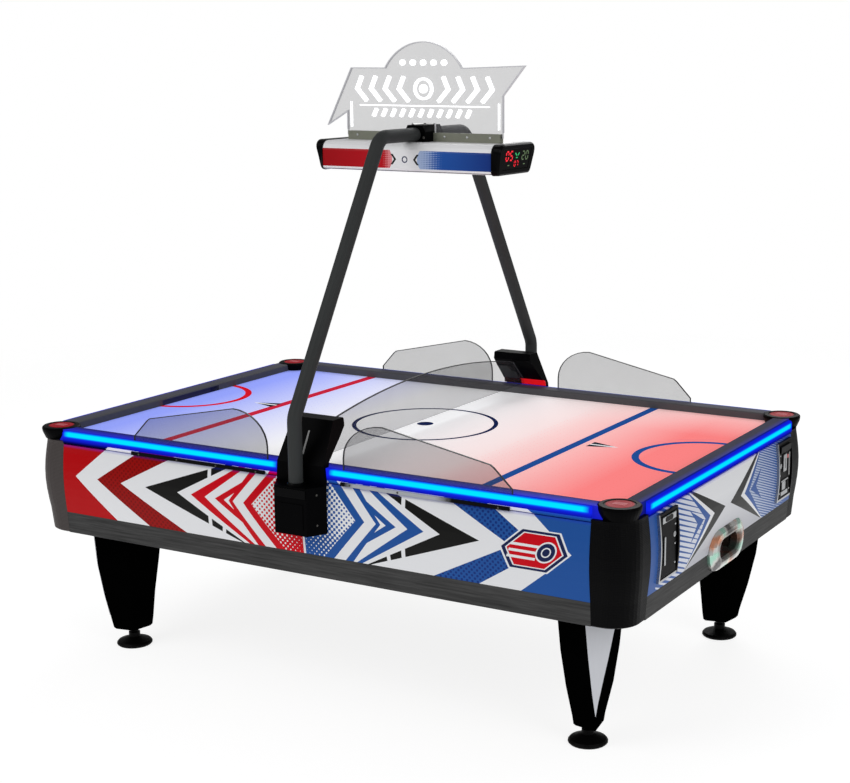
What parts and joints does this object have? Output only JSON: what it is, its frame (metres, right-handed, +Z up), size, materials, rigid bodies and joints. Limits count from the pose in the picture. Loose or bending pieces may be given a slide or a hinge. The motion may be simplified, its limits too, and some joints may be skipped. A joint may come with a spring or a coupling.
{
  "type": "air hockey table",
  "caption": "Arcade air hockey table with lit rim, clear puck guards, coin door, and a scoreboard and sign hung from a bent-tube gantry over the middle.",
  "frame": {"origin": "on the floor, under the middle of the table", "axes": "+X along the table towards the blue end, +Y towards the far long side, +Z up"},
  "size_m": [2.348, 1.668, 2.165],
  "materials": {
    "plywood": "bare plywood, sealed",
    "playfield": "polished printed laminate",
    "panel_print": "printed laminate over board",
    "skirt": "dark laminate with a fine horizontal grain",
    "rail_coat": "dark anodised extrusion",
    "black_plastic": "moulded, satin",
    "post_weave": "moulded with a fine woven grain",
    "light_strip": "translucent light strip, lit",
    "smoked_acrylic": "clear acrylic with a slight smoke tint",
    "tube_coat": "powder coat, fine texture",
    "white_extrusion": "extruded shell with a printed front",
    "sign_acrylic": "clear edge-lit acrylic",
    "zinc": "grey plated channel",
    "chrome": "bright plated",
    "door_steel": "black powder coat",
    "leg_coat": "smooth black coat",
    "foot_rubber": "moulded foot on a threaded stem",
    "blower_steel": "pressed and coated",
    "impeller": "moulded",
    "red_lens": "translucent red button"
  },
  "bodies": {
    "table": {"cabinet_chassis": "plywood", "playfield": "playfield", "side_panel_near": "panel_print", "side_panel_far": "panel_print", "end_panel_red": "panel_print", "end_panel_blue": "panel_print", "skirt_near": "skirt", "skirt_far": "skirt", "skirt_red": "skirt", "skirt_blue": "skirt", "rail_near": "rail_coat", "rail_far": "rail_coat", "rail_red": "rail_coat", "rail_blue": "rail_coat", "light_strip_near": "light_strip", "light_strip_far": "light_strip", "light_strip_red": "light_strip", "light_strip_blue": "light_strip", "corner_post_red_near": "post_weave", "corner_cap_red_near": "black_plastic", "puck_guard_red_near": "smoked_acrylic", "leg_red_near": "leg_coat", "corner_post_red_far": "post_weave", "corner_cap_red_far": "black_plastic", "puck_guard_red_far": "smoked_acrylic", "leg_red_far": "leg_coat", "corner_post_blue_near": "post_weave", "corner_cap_blue_near": "black_plastic", "puck_guard_blue_near": "smoked_acrylic", "leg_blue_near": "leg_coat", "corner_post_blue_far": "post_weave", "corner_cap_blue_far": "black_plastic", "puck_guard_blue_far": "smoked_acrylic", "leg_blue_far": "leg_coat", "centre_shield": "smoked_acrylic", "tower_near": "black_plastic", "tower_far": "black_plastic", "gantry_tube": "tube_coat", "gantry_clamp": "black_plastic", "scoreboard_housing": "white_extrusion", "score_cap_red": "black_plastic", "sign_channel_red": "zinc", "puck_return_red": "chrome", "score_cap_blue": "black_plastic", "sign_channel_blue": "zinc", "puck_return_blue": "chrome", "sign_panel": "sign_acrylic", "blower_housing": "blower_steel", "power_inlet": "black_plastic"},
    "service_door": {"service_door": "door_steel"},
    "service_door_lock": {"service_door_lock": "chrome"},
    "coin_door": {"coin_door": "door_steel"},
    "coin_door_lock": {"coin_door_lock": "chrome"},
    "coin_reject_button": {"coin_reject_button": "red_lens"},
    "coin_return_flap": {"coin_return_flap": "chrome"},
    "blower_impeller": {"blower_impeller": "impeller"},
    "foot_red_near": {"foot_red_near": "foot_rubber"},
    "foot_red_far": {"foot_red_far": "foot_rubber"},
    "foot_blue_near": {"foot_blue_near": "foot_rubber"},
    "foot_blue_far": {"foot_blue_far": "foot_rubber"}
  },
  "joints": [
    {"name": "service_door_hinge", "type": "hinge", "parent": "table", "child": "service_door", "pos_m": [1.1665, -0.5625, 0.6675], "axis": [0, 0, -1], "range_deg": [0, 100]},
    {"name": "coin_door_hinge", "type": "hinge", "parent": "table", "child": "coin_door", "pos_m": [1.1665, 0.6025, 0.6675], "axis": [0, 0, 1], "range_deg": [0, 100]},
    {"name": "service_door_lock_turn", "type": "hinge", "parent": "service_door", "child": "service_door_lock", "pos_m": [1.1665, -0.4575, 0.69], "axis": [1, 0, 0], "range_deg": [0, 90]},
    {"name": "coin_door_lock_turn", "type": "hinge", "parent": "coin_door", "child": "coin_door_lock", "pos_m": [1.1665, 0.4975, 0.69], "axis": [-1, 0, 0], "range_deg": [0, 90]},
    {"name": "coin_reject_press", "type": "slide", "parent": "coin_door", "child": "coin_reject_button", "axis": [-1, 0, 0], "range_m": [0, 0.003], "stiffness_N_per_m": 200, "springref_m": -0.002},
    {"name": "coin_return_swing", "type": "hinge", "parent": "coin_door", "child": "coin_return_flap", "pos_m": [1.1625, 0.54, 0.6235], "axis": [0, 1, 0], "range_deg": [0, 45]},
    {"name": "blower_spin", "type": "hinge", "parent": "table", "child": "blower_impeller", "pos_m": [-0.3, 0, 0.51], "axis": [0, 0, 1], "continuous": true},
    {"name": "foot_red_near_screw", "type": "slide", "parent": "table", "child": "foot_red_near", "axis": [0, 0, -1], "range_m": [0, 0.025]},
    {"name": "foot_red_far_screw", "type": "slide", "parent": "table", "child": "foot_red_far", "axis": [0, 0, -1], "range_m": [0, 0.025]},
    {"name": "foot_blue_near_screw", "type": "slide", "parent": "table", "child": "foot_blue_near", "axis": [0, 0, -1], "range_m": [0, 0.025]},
    {"name": "foot_blue_far_screw", "type": "slide", "parent": "table", "child": "foot_blue_far", "axis": [0, 0, -1], "range_m": [0, 0.025]}
  ]
}
